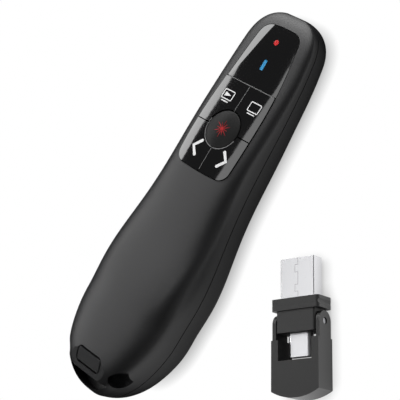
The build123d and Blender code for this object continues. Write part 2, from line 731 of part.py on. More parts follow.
def plunger(x, v, name):
    """Make the plunger of one switch, from the key's stem down into the switch."""
    with BuildPart() as pin:
        with BuildSketch(DECK.offset(-SWITCH_TOP - PLUNGER_REACH)):
            with Locations((x, v)):
                Circle(PLUNGER_R)
        extrude(amount=PLUNGER_REACH + KEY_TRAVEL + SLIDE_FIT)
    pin.part.label = name
    return pin.part


CORNERS = {"play": (-1, 1), "blank": (1, 1), "back": (-1, -1), "forward": (1, -1)}
corner_keys = {name: corner_key(side, end, name + "_key") for name, (side, end) in CORNERS.items()}
plungers = {
    name: plunger(side * SWITCH_X, end * SWITCH_V, name + "_plunger")
    for name, (side, end) in CORNERS.items()
}
plungers["laser"] = plunger(0, 0, "laser_plunger")

# the plane through the middle of the round key that holds its profile, with the deck's normal up
KEY_PROFILE = Plane(origin=DECK.origin, x_dir=DECK.x_dir, z_dir=-DECK.y_dir)

with BuildPart() as laser_key:
    with BuildSketch(KEY_PROFILE) as profile:
        with BuildLine():
            TangentArc(
                (0, LASER_KEY_RISE + LASER_KEY_DOME), (LASER_KEY_R, LASER_KEY_RISE), tangent=(1, 0)
            )
            Polyline(
                (LASER_KEY_R, LASER_KEY_RISE),
                (LASER_KEY_R, -KEY_DEPTH),
                (LASER_KEY_R - KEY_WALL, -KEY_DEPTH),
                (LASER_KEY_R - KEY_WALL, -KEY_WALL),
                (STEM_R, -KEY_WALL),
                (STEM_R, -SWITCH_TOP + KEY_TRAVEL + SLIDE_FIT),
                (0, -SWITCH_TOP + KEY_TRAVEL + SLIDE_FIT),
                (0, LASER_KEY_RISE + LASER_KEY_DOME),
            )
        make_face()
        fillet(profile.vertices().group_by(Axis.X)[-1].sort_by(Axis.Y)[-1], LASER_KEY_EDGE)
    revolve(axis=Axis(DECK.origin, DECK.z_dir))
laser_key.part.label = "laser_key"

# ---- Circuit board ------------------------------------------------------------------------
BOARD_SWITCHES = [(0, 0)] + [(side * SWITCH_X, end * SWITCH_V) for side, end in CORNERS.values()]

with BuildPart() as circuit_board:
    with BuildSketch(DECK.offset(-BOARD_DEPTH - BOARD_THICK)):
        with BuildLine():
            Polyline(
                (-BOARD_HALF, -BOARD_BACK),
                (BOARD_HALF, -BOARD_BACK),
                (BOARD_HALF, PANEL_SPLIT),
                (BOARD_HALF_FRONT, BOARD_FRONT),
                (-BOARD_HALF_FRONT, BOARD_FRONT),
                (-BOARD_HALF, PANEL_SPLIT),
                close=True,
            )
        make_face()
    extrude(amount=BOARD_THICK)
circuit_board.part.label = "circuit_board"

with BuildPart() as switch_bodies:
    with BuildSketch(DECK.offset(-BOARD_DEPTH)):
        with Locations(*BOARD_SWITCHES):
            Rectangle(SWITCH_SIZE, SWITCH_SIZE)
    extrude(amount=SWITCH_HEIGHT)
    with BuildSketch(DECK.offset(-SWITCH_TOP)):
        with Locations(*BOARD_SWITCHES):
            Circle(PLUNGER_R + PLUNGER_FIT)
    extrude(amount=-PLUNGER_REACH - KEY_TRAVEL - SLIDE_FIT, mode=Mode.SUBTRACT)
switch_bodies.part.label = "switch_bodies"


def led(v, name):
    """Make one small light emitting diode on the board, under its light pipe."""
    with BuildPart() as diode:
        with BuildSketch(DECK.offset(-BOARD_DEPTH)):
            with Locations((0, v)):
                Rectangle(LED_WIDTH, LED_LENGTH)
        extrude(amount=LED_HEIGHT)
    diode.part.label = name
    return diode.part


status_led = led(LENS_V, "status_led")
signal_led = led(BAR_V, "signal_led")

with BuildPart() as radio_shield:
    with BuildSketch(DECK.offset(-BOARD_DEPTH - BOARD_THICK)):
        with Locations((0, BOARD_FRONT - 2 * SHIELD_LENGTH)):
            Rectangle(SHIELD_WIDTH, SHIELD_LENGTH)
    extrude(amount=-SHIELD_HEIGHT)
radio_shield.part.label = "radio_shield"

# ---- Laser --------------------------------------------------------------------------------
BARREL_FRONT = NOSE_Y - OUTLET_RING_DEPTH - LASER_FIT

with BuildPart() as laser_barrel:
    with BuildSketch(Plane.XZ.offset(-BARREL_FRONT)):
        with Locations((0, LASER_Z)):
            Circle(LASER_R)
    extrude(amount=LASER_LENGTH)
    with BuildSketch(Plane.XZ.offset(-BARREL_FRONT)):
        with Locations((0, LASER_Z)):
            Circle(OUTLET_R)
    extrude(amount=2 * LENS_DISC, mode=Mode.SUBTRACT)
laser_barrel.part.label = "laser_barrel"

with BuildPart() as laser_lens:
    with BuildSketch(Plane.XZ.offset(-BARREL_FRONT + LENS_DISC)):
        with Locations((0, LASER_Z)):
            Circle(OUTLET_R)
    extrude(amount=LENS_DISC)
laser_lens.part.label = "laser_lens"

with BuildPart() as outlet_ring:
    with BuildSketch(Plane.XZ.offset(-NOSE_Y)):
        with Locations((0, LASER_Z)):
            Circle(OUTLET_RING_R)
            Circle(OUTLET_R, mode=Mode.SUBTRACT)
    extrude(amount=OUTLET_RING_DEPTH)
outlet_ring.part.label = "outlet_ring"

# ---- Cells and contacts -------------------------------------------------------------------
with BuildPart() as aaa_cells:
    with BuildSketch(Plane.XZ.offset(-CELL_FRONT + CELL_NUB)):
        with Locations(*CELL_SPOTS):
            Circle(CELL_R)
    extrude(amount=CELL_LENGTH - CELL_NUB)
    with BuildSketch(Plane.XZ.offset(-CELL_FRONT)):
        with Locations(*CELL_SPOTS):
            Circle(CELL_NUB_R)
    extrude(amount=CELL_NUB)
aaa_cells.part.label = "aaa_cells"


def contact_plates(y):
    """Make the pair of contact plates whose front faces are at y."""
    with BuildPart() as plates:
        with BuildSketch(Plane.XZ.offset(-y)):
            with Locations(*CELL_SPOTS):
                Rectangle(CONTACT_SIZE, CONTACT_SIZE)
        extrude(amount=CONTACT_THICK)
    return plates.part


plate_contacts = contact_plates(BAY_FRONT)
plate_contacts.label = "plate_contacts"

with BuildPart() as spring_contacts:
    add(contact_plates(BAY_REAR + CONTACT_THICK))
    # conical coils, as closed cones of their outer shape
    for x, z in CELL_SPOTS:
        with Locations(Location((x, BAY_REAR + CONTACT_THICK + SPRING_LENGTH / 2, z), (-90, 0, 0))):
            Cone(SPRING_R, SPRING_TIP_R, SPRING_LENGTH)
spring_contacts.part.label = "spring_contacts"

# ---- Power switch -------------------------------------------------------------------------
POWER_REST = POWER_Y + POWER_TRAVEL / 2

with BuildPart() as power_knob:
    with BuildSketch(Plane.XY.offset(KNOB_RECESS - SLIDE_FIT)):
        with Locations((0, POWER_REST)):
            RectangleRounded(KNOB_WIDTH, KNOB_LENGTH, KNOB_CORNER)
    extrude(amount=-KNOB_THICK)
    with BuildSketch(Plane.XY.offset(KNOB_RECESS - SLIDE_FIT)):
        with Locations((0, POWER_REST)):
            Rectangle(STEM_WIDTH, STEM_LENGTH)
    extrude(amount=STEM_TOP - KNOB_RECESS + SLIDE_FIT)
power_knob.part.label = "power_knob"

with BuildPart() as power_switch:
    with BuildSketch(Plane.XY.offset(FLOOR + FLOOR_FIT)):
        with Locations((0, POWER_Y)):
            Rectangle(POWER_BODY_WIDTH, POWER_BODY_LENGTH)
    extrude(amount=POWER_BODY_HEIGHT)
    with BuildSketch(Plane.XY.offset(FLOOR + FLOOR_FIT)):
        with Locations((0, POWER_Y)):
            Rectangle(STEM_WIDTH + 2 * SLIDE_FIT, STEM_LENGTH + POWER_TRAVEL + 2 * SLIDE_FIT)
    extrude(amount=STEM_TOP - FLOOR + SLIDE_FIT, mode=Mode.SUBTRACT)
power_switch.part.label = "power_switch"

# ---- Screws -------------------------------------------------------------------------------
with BuildPart() as housing_screws:
    with BuildSketch(Plane.XY.offset(SCREW_SEAT)):
        with Locations(*SCREW_SPOTS):
            Circle(SCREW_HEAD_R)
    extrude(amount=-SCREW_HEAD)
    with BuildSketch(Plane.XY.offset(SCREW_SEAT)):
        with Locations(*SCREW_SPOTS):
            Circle(SCREW_R)
    extrude(amount=SCREW_LENGTH)
housing_screws.part.label = "housing_screws"

# ---- Receiver -----------------------------------------------------------------------------
MID = COLLAR_THICK / 2  # height of the receiver's middle plane
TURN = radians(RECEIVER_TURN)
RECEIVER = Plane(origin=(RECEIVER_X, RECEIVER_Y, MID), x_dir=(cos(TURN), sin(TURN), 0))
# looks along the receiver from its USB-A end to its cap
RECEIVER_FRONT = Plane(origin=RECEIVER.origin, x_dir=RECEIVER.x_dir, z_dir=-RECEIVER.y_dir)
# looks along the hinge line
HINGE = Plane(origin=RECEIVER.origin, x_dir=RECEIVER.y_dir, z_dir=RECEIVER.x_dir)
COLLAR_END = BODY_FRONT + COLLAR_LENGTH

with BuildPart() as receiver_body:
    with BuildSketch(RECEIVER_FRONT.offset(-BODY_FRONT)):
        RectangleRounded(BODY_WIDTH, BODY_THICK, BODY_CORNER)
    extrude(amount=BODY_FRONT + BODY_BACK)
    with BuildSketch(RECEIVER_FRONT.offset(-COLLAR_END)):
        RectangleRounded(COLLAR_WIDTH, COLLAR_THICK, COLLAR_CORNER)
    extrude(amount=COLLAR_LENGTH)
    with BuildSketch(RECEIVER.offset(-COLLAR_THICK / 2)):
        for side in (-1, 1):
            with Locations(
                (side * (COLLAR_WIDTH / 2 + WAIST_R - WAIST_DEPTH), BODY_FRONT + COLLAR_LENGTH / 2)
            ):
                Circle(WAIST_R)
    extrude(amount=COLLAR_THICK, mode=Mode.SUBTRACT)
    # seat of the USB-A shell, and the room behind it for the board
    with BuildSketch(RECEIVER_FRONT.offset(-COLLAR_END)):
        Rectangle(USB_A_WIDTH + 2 * USB_FIT, USB_A_THICK + 2 * USB_FIT)
    extrude(amount=USB_ROOT, mode=Mode.SUBTRACT)
    with BuildSketch(RECEIVER_FRONT.offset(-COLLAR_END)):
        Rectangle(USB_A_WIDTH - 2 * USB_SHEET, USB_A_THICK - 2 * USB_SHEET)
    extrude(amount=COLLAR_END + BODY_BACK - USB_C_ROOT, mode=Mode.SUBTRACT)
    with BuildSketch(RECEIVER_FRONT.offset(BODY_BACK)):
        SlotOverall(USB_C_WIDTH + 2 * USB_FIT, USB_C_THICK + 2 * USB_FIT)
    extrude(amount=-USB_C_ROOT, mode=Mode.SUBTRACT)
    with BuildSketch(HINGE.offset(-BODY_WIDTH / 2)):
        Circle(PIN_R)
    extrude(amount=PIN_ROOT, mode=Mode.SUBTRACT)
    with BuildSketch(HINGE.offset(BODY_WIDTH / 2)):
        Circle(PIN_R)
    extrude(amount=-PIN_ROOT, mode=Mode.SUBTRACT)
receiver_body.part.label = "receiver_body"

with BuildPart() as usb_a_shell:
    with BuildSketch(RECEIVER_FRONT.offset(-COLLAR_END - USB_A_LENGTH)):
        RectangleRounded(USB_A_WIDTH, USB_A_THICK, USB_SHEET)
        Rectangle(USB_A_WIDTH - 2 * USB_SHEET, USB_A_THICK - 2 * USB_SHEET, mode=Mode.SUBTRACT)
    extrude(amount=USB_A_LENGTH + USB_ROOT)
usb_a_shell.part.label = "usb_a_shell"

with BuildPart() as usb_a_tongue:
    with BuildSketch(RECEIVER_FRONT.offset(-COLLAR_END - USB_A_LENGTH + USB_SHEET)):
        with Locations((0, -USB_A_THICK / 2 + USB_SHEET + USB_A_TONGUE / 2)):
            Rectangle(USB_A_WIDTH - 2 * USB_SHEET - 2 * USB_FIT, USB_A_TONGUE - 2 * USB_FIT)
    extrude(amount=USB_A_LENGTH - USB_SHEET)
usb_a_tongue.part.label = "usb_a_tongue"

with BuildPart() as receiver_board:
    with BuildSketch(RECEIVER_FRONT.offset(-COLLAR_END)):
        Rectangle(USB_A_WIDTH - 2 * USB_SHEET - 4 * USB_FIT, CORE_THICK)
    extrude(amount=COLLAR_END + BODY_BACK - USB_C_ROOT - USB_FIT)
receiver_board.part.label = "receiver_board"

with BuildPart() as usb_c_shell:
    with BuildSketch(RECEIVER_FRONT.offset(BODY_BACK - USB_C_ROOT)):
        SlotOverall(USB_C_WIDTH, USB_C_THICK)
        SlotOverall(USB_C_WIDTH - 2 * USB_C_SHEET, USB_C_THICK - 2 * USB_C_SHEET, mode=Mode.SUBTRACT)
    extrude(amount=USB_C_LENGTH + USB_C_ROOT)
usb_c_shell.part.label = "usb_c_shell"

with BuildPart() as usb_c_core:
    with BuildSketch(RECEIVER_FRONT.offset(BODY_BACK - USB_C_ROOT)):
        SlotOverall(USB_C_WIDTH - 2 * CORE_INSET, USB_C_THICK - 2 * CORE_INSET)
    extrude(amount=USB_C_LENGTH + USB_C_ROOT - USB_SHEET)
    with BuildSketch(RECEIVER_FRONT.offset(BODY_BACK + USB_C_LENGTH)):
        Rectangle(USB_C_WIDTH - USB_C_THICK, CORE_THICK)
    extrude(amount=-USB_C_LENGTH + USB_SHEET, mode=Mode.SUBTRACT)
usb_c_core.part.label = "usb_c_core"

with BuildPart() as cap_pins:
    for side in (-1, 1):
        with BuildSketch(HINGE.offset(side * (BODY_WIDTH / 2 - PIN_ROOT))):
            Circle(PIN_R)
        extrude(amount=side * (CAP_WIDTH / 2 - BODY_WIDTH / 2 + PIN_ROOT - PIN_INSET))
cap_pins.part.label = "cap_pins"

with BuildPart() as receiver_cap:
    with BuildSketch(RECEIVER.offset(-CAP_THICK / 2)):
        with BuildLine():
            Polyline(
                (-CAP_WIDTH / 2, -CAP_SIDES),
                (-CAP_WIDTH / 2, -CAP_LIP),
                (CAP_WIDTH / 2, -CAP_LIP),
                (CAP_WIDTH / 2, -CAP_SIDES),
            )
            ThreePointArc((CAP_WIDTH / 2, -CAP_SIDES), (0, -CAP_END), (-CAP_WIDTH / 2, -CAP_SIDES))
        make_face()
        with Locations((0, -CAP_LIP)):
            Rectangle(2 * CAP_LIP_HALF, 2 * (CAP_WINDOW - CAP_LIP), mode=Mode.SUBTRACT)
    extrude(amount=CAP_THICK)
    # arms, rounded about the hinge line, and their bores
    with BuildSketch(HINGE.offset(-CAP_WIDTH / 2), HINGE.offset(CAP_WIDTH / 2 - CAP_ARM)):
        Circle(CAP_FRONT)
        with Locations((-CAP_LIP / 2, 0)):
            Rectangle(CAP_LIP, 2 * CAP_FRONT)
        Circle(PIN_R + PIN_FIT, mode=Mode.SUBTRACT)
    extrude(amount=CAP_ARM)
receiver_cap.part.label = "receiver_cap"

# ---- Files --------------------------------------------------------------------------------
pieces = [
    top_shell.part,
    bottom_shell.part,
    battery_door.part,
    indicator_window.part,
    status_lens.part,
    signal_bar.part,
    *corner_keys.values(),
    laser_key.part,
    *plungers.values(),
    circuit_board.part,
    switch_bodies.part,
    status_led,
    signal_led,
    radio_shield.part,
    laser_barrel.part,
    laser_lens.part,
    outlet_ring.part,
    aaa_cells.part,
    plate_contacts,
    spring_contacts.part,
    power_knob.part,
    power_switch.part,
    housing_screws.part,
    receiver_body.part,
    receiver_board.part,
    usb_a_shell.part,
    usb_a_tongue.part,
    usb_c_shell.part,
    usb_c_core.part,
    cap_pins.part,
    receiver_cap.part,
]
os.makedirs("parts", exist_ok=True)
for piece in pieces:
    export_step(piece, f"parts/{piece.label}.step")
    print(f"{piece.label}: {len(piece.solids())} solids, {piece.volume:.2f} mm3")
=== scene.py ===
# %% [markdown]
# # A presentation clicker and its two-plug receiver
# The imported solids are the frame: every piece already has its place and size in metres, +Y to the
# nose, +X to the right-hand keys, +Z up. We load them first.
# %% Load the frame
from math import cos, degrees, pi, radians, sin, tan

import bpy
from mathutils import Matrix, Vector


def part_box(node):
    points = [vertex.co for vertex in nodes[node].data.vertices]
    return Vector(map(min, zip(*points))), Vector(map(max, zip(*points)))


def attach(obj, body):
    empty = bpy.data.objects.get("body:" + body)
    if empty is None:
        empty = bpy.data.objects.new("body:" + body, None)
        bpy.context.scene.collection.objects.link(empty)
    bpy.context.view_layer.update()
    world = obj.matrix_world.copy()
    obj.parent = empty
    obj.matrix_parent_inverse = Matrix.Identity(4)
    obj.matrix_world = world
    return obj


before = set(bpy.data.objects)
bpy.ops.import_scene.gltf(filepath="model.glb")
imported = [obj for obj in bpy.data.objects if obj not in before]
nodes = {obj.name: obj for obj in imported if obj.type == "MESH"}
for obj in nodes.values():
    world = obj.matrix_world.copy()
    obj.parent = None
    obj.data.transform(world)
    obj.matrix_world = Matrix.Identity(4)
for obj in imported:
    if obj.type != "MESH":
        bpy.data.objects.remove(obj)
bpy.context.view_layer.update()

# %% [markdown]
# ## Camera
# A product shot from above and a little to the right, with the clicker lying diagonally. Two
# angles give the viewpoint: `LEAN` tips the view to the clicker's right side and `AHEAD` towards
# its nose. `ROLL` then turns the picture until the nose points up and to the right. We could turn
# the camera by hand until it fits, but three angles are easier to correct one at a time. A long
# lens at about 45 cm keeps the perspective mild, as in catalogue pictures.
# %% Camera
MM = 0.001
LEAN = radians(40.0)
AHEAD = radians(5.5)
ROLL = radians(26.55)
DISTANCE = 450 * MM
PIVOT = Vector((0, 0, 12 * MM))
LENS, SENSOR = 128.4, 36.0
SHIFT = (0.0122, 0.0145)
side_dir = Vector((cos(LEAN), 0, -sin(LEAN)))
lean_dir = Vector((sin(LEAN), 0, cos(LEAN)))
view_dir = lean_dir * cos(AHEAD) + Vector((0, sin(AHEAD), 0))
nose_dir = Vector((0, cos(AHEAD), 0)) - lean_dir * sin(AHEAD)
right_dir = cos(ROLL) * side_dir + sin(ROLL) * nose_dir
up_dir = cos(ROLL) * nose_dir - sin(ROLL) * side_dir
turn = Matrix((right_dir, up_dir, view_dir)).transposed()
bpy.ops.object.camera_add(location=PIVOT + DISTANCE * view_dir, rotation=turn.to_euler())
camera = bpy.context.object
camera.name = "camera"
camera.data.lens = LENS
camera.data.sensor_width = SENSOR
camera.data.clip_start = 10 * MM
camera.data.shift_x, camera.data.shift_y = SHIFT
bpy.context.scene.camera = camera
print("camera at", tuple(round(c, 3) for c in camera.location))

# %% [markdown]
# ## Adding nodes
# Every finish below is a small net of nodes. By hand one adds a node, types its values and draws
# its links. `add_node` does the three at once, so each node of a net is one statement: a number or
# a colour is typed into an input, and another node's output is linked to it.
# %% Helpers for nodes
def fill(tree, node, inputs):
    """Type values into a node's inputs; where a value is another node's output, link it."""
    for label, value in inputs.items():
        if isinstance(value, bpy.types.NodeSocket):
            tree.links.new(value, node.inputs[label])
        else:
            node.inputs[label].default_value = value


def add_node(tree, kind, inputs, **settings):
    """Add a node of some kind, with its settings and its inputs."""
    made = tree.nodes.new(kind)
    for name, value in settings.items():
        setattr(made, name, value)
    fill(tree, made, inputs)
    return made


def object_place(tree):
    """Where the shaded point lies on its piece, in metres."""
    return tree.nodes.new("ShaderNodeTexCoord").outputs["Object"]


def ranged(tree, source, low, high, out_low, out_high):
    """Map a value from one range to another."""
    ends = {"From Min": low, "From Max": high, "To Min": out_low, "To Max": out_high}
    return add_node(tree, "ShaderNodeMapRange", {"Value": source, **ends}).outputs["Result"]


def glowing(tree, strength):
    """White light of a strength that a node gives."""
    inputs = {"Color": (1, 1, 1, 1), "Strength": strength}
    return add_node(tree, "ShaderNodeEmission", inputs).outputs["Emission"]


print("node helpers ready")

# %% [markdown]
# ## Table
# The clicker and its receiver lie on white paper on a light table. The paper glows by itself, so
# large shadows fade, and an Ambient Occlusion node paints a soft contact shadow on it, only close
# to what touches it. A lit white plane would be simpler, but its shadows would be as wide as the lamps.
#
# Polished black mirrors the table in its flanks, and there a photographer lays black card on the
# left, for a crisp dark rim, and white card on the right. A Light Path node does the same: the
# camera sees the paper, and every other ray the two cards. A wider Ambient Occlusion paints shade
# on the cards near the clicker, so the flanks mirror a painted shade there.
# %% Table
CONTACT_REACH, SHADE_REACH = 5 * MM, 50 * MM
SHADOW_DEEP, SHADOW_NONE, SHADOW_BRIGHTNESS = 0.2, 0.9, 0.5
CARD_FROM, CARD_TO = 12 * MM, 50 * MM
BLACK_CARD, WHITE_CARD = 0.02, 2.4
OCCLUSION_RAYS = 32
bpy.ops.mesh.primitive_plane_add(size=6.0)
table = bpy.context.object
table.name = "table"
paper = bpy.data.materials.new("white_paper")
paper.use_nodes = True
tree = paper.node_tree
tree.nodes.remove(tree.nodes["Principled BSDF"])
occlusion = "ShaderNodeAmbientOcclusion"
contact = add_node(tree, occlusion, {"Distance": CONTACT_REACH}, samples=OCCLUSION_RAYS)
shade = add_node(tree, occlusion, {"Distance": SHADE_REACH}, samples=OCCLUSION_RAYS)
split = add_node(tree, "ShaderNodeSeparateXYZ", {"Vector": object_place(tree)})
card = ranged(tree, split.outputs["X"], CARD_FROM, CARD_TO, BLACK_CARD, WHITE_CARD)
# Painted shade: the cards are darkened near the clicker and receiver, and the flanks mirror it.
cards = add_node(tree, "ShaderNodeMath", {0: card, 1: shade.outputs["AO"]}, operation="MULTIPLY")
# Painted contact shadow: the paper the camera sees is darkened where something touches it.
white = ranged(tree, contact.outputs["AO"], SHADOW_DEEP, SHADOW_NONE, SHADOW_BRIGHTNESS, 1.0)
seen_by = tree.nodes.new("ShaderNodeLightPath").outputs["Is Camera Ray"]
both = {"Fac": seen_by, 1: glowing(tree, cards.outputs[0]), 2: glowing(tree, white)}
blend = add_node(tree, "ShaderNodeMixShader", both)
fill(tree, tree.nodes["Material Output"], {"Surface": blend.outputs["Shader"]})
table.data.materials.append(paper)
print("table laid")

# %% [markdown]
# ## Light
# A nearly black object is drawn by what it mirrors, so the room itself is nearly dark: only the
# camera sees its white. Two long softboxes hang along the clicker's left side. The low one draws
# the pale edge down the left of the polished keys, the high one the edge on their right, and
# between them the keys stay black. The rough housing blurs both into one broad sheen on its crown.
# A weak box on the right lights the far flank, and one ahead of the nose draws the joints that run
# across.
# %% Room
ROOM_LIGHT = 0.1
world = bpy.data.worlds.new("studio")
bpy.context.scene.world = world
world.use_nodes = True
tree = world.node_tree
seen_by = tree.nodes.new("ShaderNodeLightPath").outputs["Is Camera Ray"]
level = ranged(tree, seen_by, 0.0, 1.0, ROOM_LIGHT, 1.0)
fill(tree, tree.nodes["Background"], {"Color": (1, 1, 1, 1), "Strength": level})
bpy.context.scene.view_settings.view_transform = "Standard"
print("room light", ROOM_LIGHT)


# %% Softboxes
def softbox(name, to_right, ahead, spread, length, brightness):
    """Hang a box 1 m away: its place and spread are angles in degrees seen from the clicker."""
    side, front = radians(to_right), radians(ahead)
    place = Vector((sin(side) * cos(front), sin(front), cos(side) * cos(front)))
    across = Vector((cos(side), 0, -sin(side)))
    along = place.cross(across)
    width = 2 * tan(radians(spread / 2))
    turn = Matrix((across, along, place)).transposed()
    bpy.ops.object.light_add(type="AREA", location=place, rotation=turn.to_euler())
    lamp = bpy.context.object
    lamp.name = name
    lamp.data.shape = "RECTANGLE"
    lamp.data.size = width
    lamp.data.size_y = length
    lamp.data.energy = brightness * pi * width * length


softbox("left_low_box", to_right=-54.5, ahead=6, spread=15, length=1.6, brightness=7.5)
softbox("left_high_box", to_right=-27, ahead=6, spread=12, length=1.4, brightness=3.3)
softbox("right_box", to_right=62, ahead=0, spread=40, length=1.2, brightness=0.35)
softbox("head_box", to_right=-40, ahead=50, spread=50, length=0.8, brightness=7.0)

# %% [markdown]
# ## Shared effects
# Three effects come back in many finishes: the fine spark-eroded grain of moulded plastic, the
# drawn streaks of metal, and the slight cloud in cast resin. We could lay the same nodes into each
# material, but then one correction means a dozen. Each effect is a node group instead, built once,
# with named inputs that every material sets for itself.
# %% Starting a group
def new_group(name, inputs, outputs):
    """Start a node group: its inputs with a kind and a usual value, its outputs with a kind."""
    tree = bpy.data.node_groups.new(name, "ShaderNodeTree")
    for label, (kind, value) in inputs.items():
        socket = tree.interface.new_socket(name=label, in_out="INPUT", socket_type=kind)
        socket.default_value = value
    for label, kind in outputs.items():
        tree.interface.new_socket(name=label, in_out="OUTPUT", socket_type=kind)
    return tree, tree.nodes.new("NodeGroupInput").outputs, tree.nodes.new("NodeGroupOutput")


def noise(tree, vector, scale, detail=2.0):
    """A noise pattern between 0 and 1; scale counts its lumps per metre."""
    inputs = {"Vector": vector, "Scale": scale, "Detail": detail}
    return add_node(tree, "ShaderNodeTexNoise", inputs).outputs["Fac"]


def about(tree, pattern, share, middle):
    """Let a pattern swing by a share round a middle value."""
    centred = add_node(tree, "ShaderNodeMath", {0: pattern, 1: 0.5}, operation="SUBTRACT")
    inputs = {0: centred.outputs[0], 1: share, 2: middle}
    return add_node(tree, "ShaderNodeMath", inputs, operation="MULTIPLY_ADD").outputs[0]


def scaled(tree, colour, share):
    """Lighten or darken a colour."""
    inputs = {0: colour, "Scale": share}
    return add_node(tree, "ShaderNodeVectorMath", inputs, operation="SCALE").outputs[0]


FLOAT, COLOUR, VECTOR = "NodeSocketFloat", "NodeSocketColor", "NodeSocketVector"
print("group helpers ready")

# %% [markdown]
# Moulded plastic takes its grain from the steel of the mould, which a spark has eroded: pits far
# too small to model. A fine noise gives their height, and a coarse one makes the surface a little
# rougher and lighter here than there, as on any moulded housing.
# %% Group: moulded grain
CLOUDS_PER_METRE, CLOUD_DETAIL = 60.0, 4.0


def moulded_grain():
    """Fine erosion grain: gives a height for bump and a small change of roughness and colour."""
    inputs = {
        "Grain per metre": (FLOAT, 2500.0),
        "Roughness": (FLOAT, 0.45),
        "Roughness change": (FLOAT, 0.08),
        "Colour": (COLOUR, (0.03, 0.03, 0.03, 1)),
        "Mottle": (FLOAT, 0.25),
    }
    outputs = {"Colour": COLOUR, "Roughness": FLOAT, "Height": FLOAT}
    tree, given, result = new_group("moulded_grain", inputs, outputs)
    place = object_place(tree)
    cloud = noise(tree, place, CLOUDS_PER_METRE, CLOUD_DETAIL)
    lightness = about(tree, cloud, given["Mottle"], 1.0)
    fill(tree, result, {
        "Colour": scaled(tree, given["Colour"], lightness),
        "Roughness": about(tree, cloud, given["Roughness change"], given["Roughness"]),
        "Height": noise(tree, place, given["Grain per metre"]),
    })
    return tree


GRAIN = moulded_grain()
print("group:", GRAIN.name, [s.name for s in GRAIN.interface.items_tree])

# %% [markdown]
# Drawn metal has streaks along the way it was pulled. Squeezing a noise along one axis makes them,
# and a squeeze of 1 on every axis leaves a plain fine grain for turned and plated metal. The
# pattern is turned with the receiver, whose plugs show it best.
# %% Group: drawn streaks
RECEIVER_TURN = radians(33.0)
STREAKS_PER_METRE, STREAK_DETAIL = 1500.0, 3.0


def drawn_streaks():
    """Fine streaks: gives a height for bump and a small change of roughness."""
    inputs = {
        "Squeeze": (VECTOR, (1, 1, 1)),
        "Roughness": (FLOAT, 0.3),
        "Roughness change": (FLOAT, 0.12),
    }
    tree, given, result = new_group("drawn_streaks", inputs, {"Roughness": FLOAT, "Height": FLOAT})
    turned = {
        "Vector": object_place(tree),
        "Rotation": (0, 0, -RECEIVER_TURN),
        "Scale": given["Squeeze"],
    }
    vector = add_node(tree, "ShaderNodeMapping", turned).outputs["Vector"]
    streaks = noise(tree, vector, STREAKS_PER_METRE, STREAK_DETAIL)
    fill(tree, result, {
        "Roughness": about(tree, streaks, given["Roughness change"], given["Roughness"]),
        "Height": streaks,
    })
    return tree


STREAKS = drawn_streaks()
print("group:", STREAKS.name, [s.name for s in STREAKS.interface.items_tree])

# %% [markdown]
# Cast resin isn't quite even either: fine clouds in it are darker. A noise that changes only the
# colour is enough, because the pieces are a few millimetres small.
# %% Group: cloudy resin
SPOTS_PER_METRE = 900.0
DARKEST_SPOT = 0.75


def cloudy_resin():
    """Cast resin: its colour, darker in cloudy spots."""
    white = {"Colour": (COLOUR, (1, 1, 1, 1))}
    tree, given, result = new_group("cloudy_resin", white, {"Colour": COLOUR})
    spots = noise(tree, object_place(tree), SPOTS_PER_METRE)
    lightness = about(tree, spots, 1 - DARKEST_SPOT, (1 + DARKEST_SPOT) / 2)
    fill(tree, result, {"Colour": scaled(tree, given["Colour"], lightness)})
    return tree


CLOUD = cloudy_resin()
print("group:", CLOUD.name, [s.name for s in CLOUD.interface.items_tree])

# %% [markdown]
# ## Plastics
# The housing is matt black, the keys and the window are the same black polished, and the round
# key is satin. One function makes them all from the grain group. The sockets that are the same all
# over, such as the specular level, are typed into the shader itself.
# %% Plastics from the grain group
BUMP_DEPTH = 0.1 * MM


def new_material(name):
    """Start a material: gives it, its node tree and its shader."""
    made = bpy.data.materials.new(name)
    made.use_nodes = True
    return made, made.node_tree, made.node_tree.nodes["Principled BSDF"]


def bumped(tree, height, strength):
    """Turn a height into a bumped normal."""
    inputs = {"Strength": strength, "Distance": BUMP_DEPTH, "Height": height}
    return add_node(tree, "ShaderNodeBump", inputs).outputs["Normal"]


def plastic(name, colour, roughness, grain=2500.0, bump=0.06, mottle=0.25, change=0.08, shine=0.5):
    """Make a moulded plastic: its grain group feeds colour, roughness and bump."""
    made, tree, shader = new_material(name)
    values = {
        "Grain per metre": grain,
        "Roughness": roughness,
        "Roughness change": change,
        "Colour": (*colour, 1),
        "Mottle": mottle,
    }
    effect = tree.nodes.new("ShaderNodeGroup")
    effect.node_tree = GRAIN
    fill(tree, effect, values)
    fill(tree, shader, {
        "Base Color": effect.outputs["Colour"],
        "Roughness": effect.outputs["Roughness"],
        "Specular IOR Level": shine,
        "Normal": bumped(tree, effect.outputs["Height"], bump),
    })
    return made


POLISHED = {"roughness": 0.06, "grain": 400.0, "bump": 0.01, "change": 0.03}
PIANO_BLACK = (0.003, 0.003, 0.0032)
shell_black = plastic("shell_black", (0.0085, 0.0085, 0.009), 0.42, shine=0.25)
gloss_black = plastic("gloss_black", PIANO_BLACK, **POLISHED)
window_black = plastic("window_black", PIANO_BLACK, **POLISHED)
key_grey = plastic("key_grey", (0.005, 0.005, 0.005), 0.3, shine=0.06, grain=3500.0, bump=0.04)
receiver_black = plastic("receiver_black", (0.011, 0.011, 0.011), 0.45, shine=0.25, grain=3000.0)
inner_black = plastic("inner_black", (0.02, 0.02, 0.02), 0.5)
plunger_white = plastic("plunger_white", (0.6, 0.6, 0.57), 0.45)
print("plastics made")

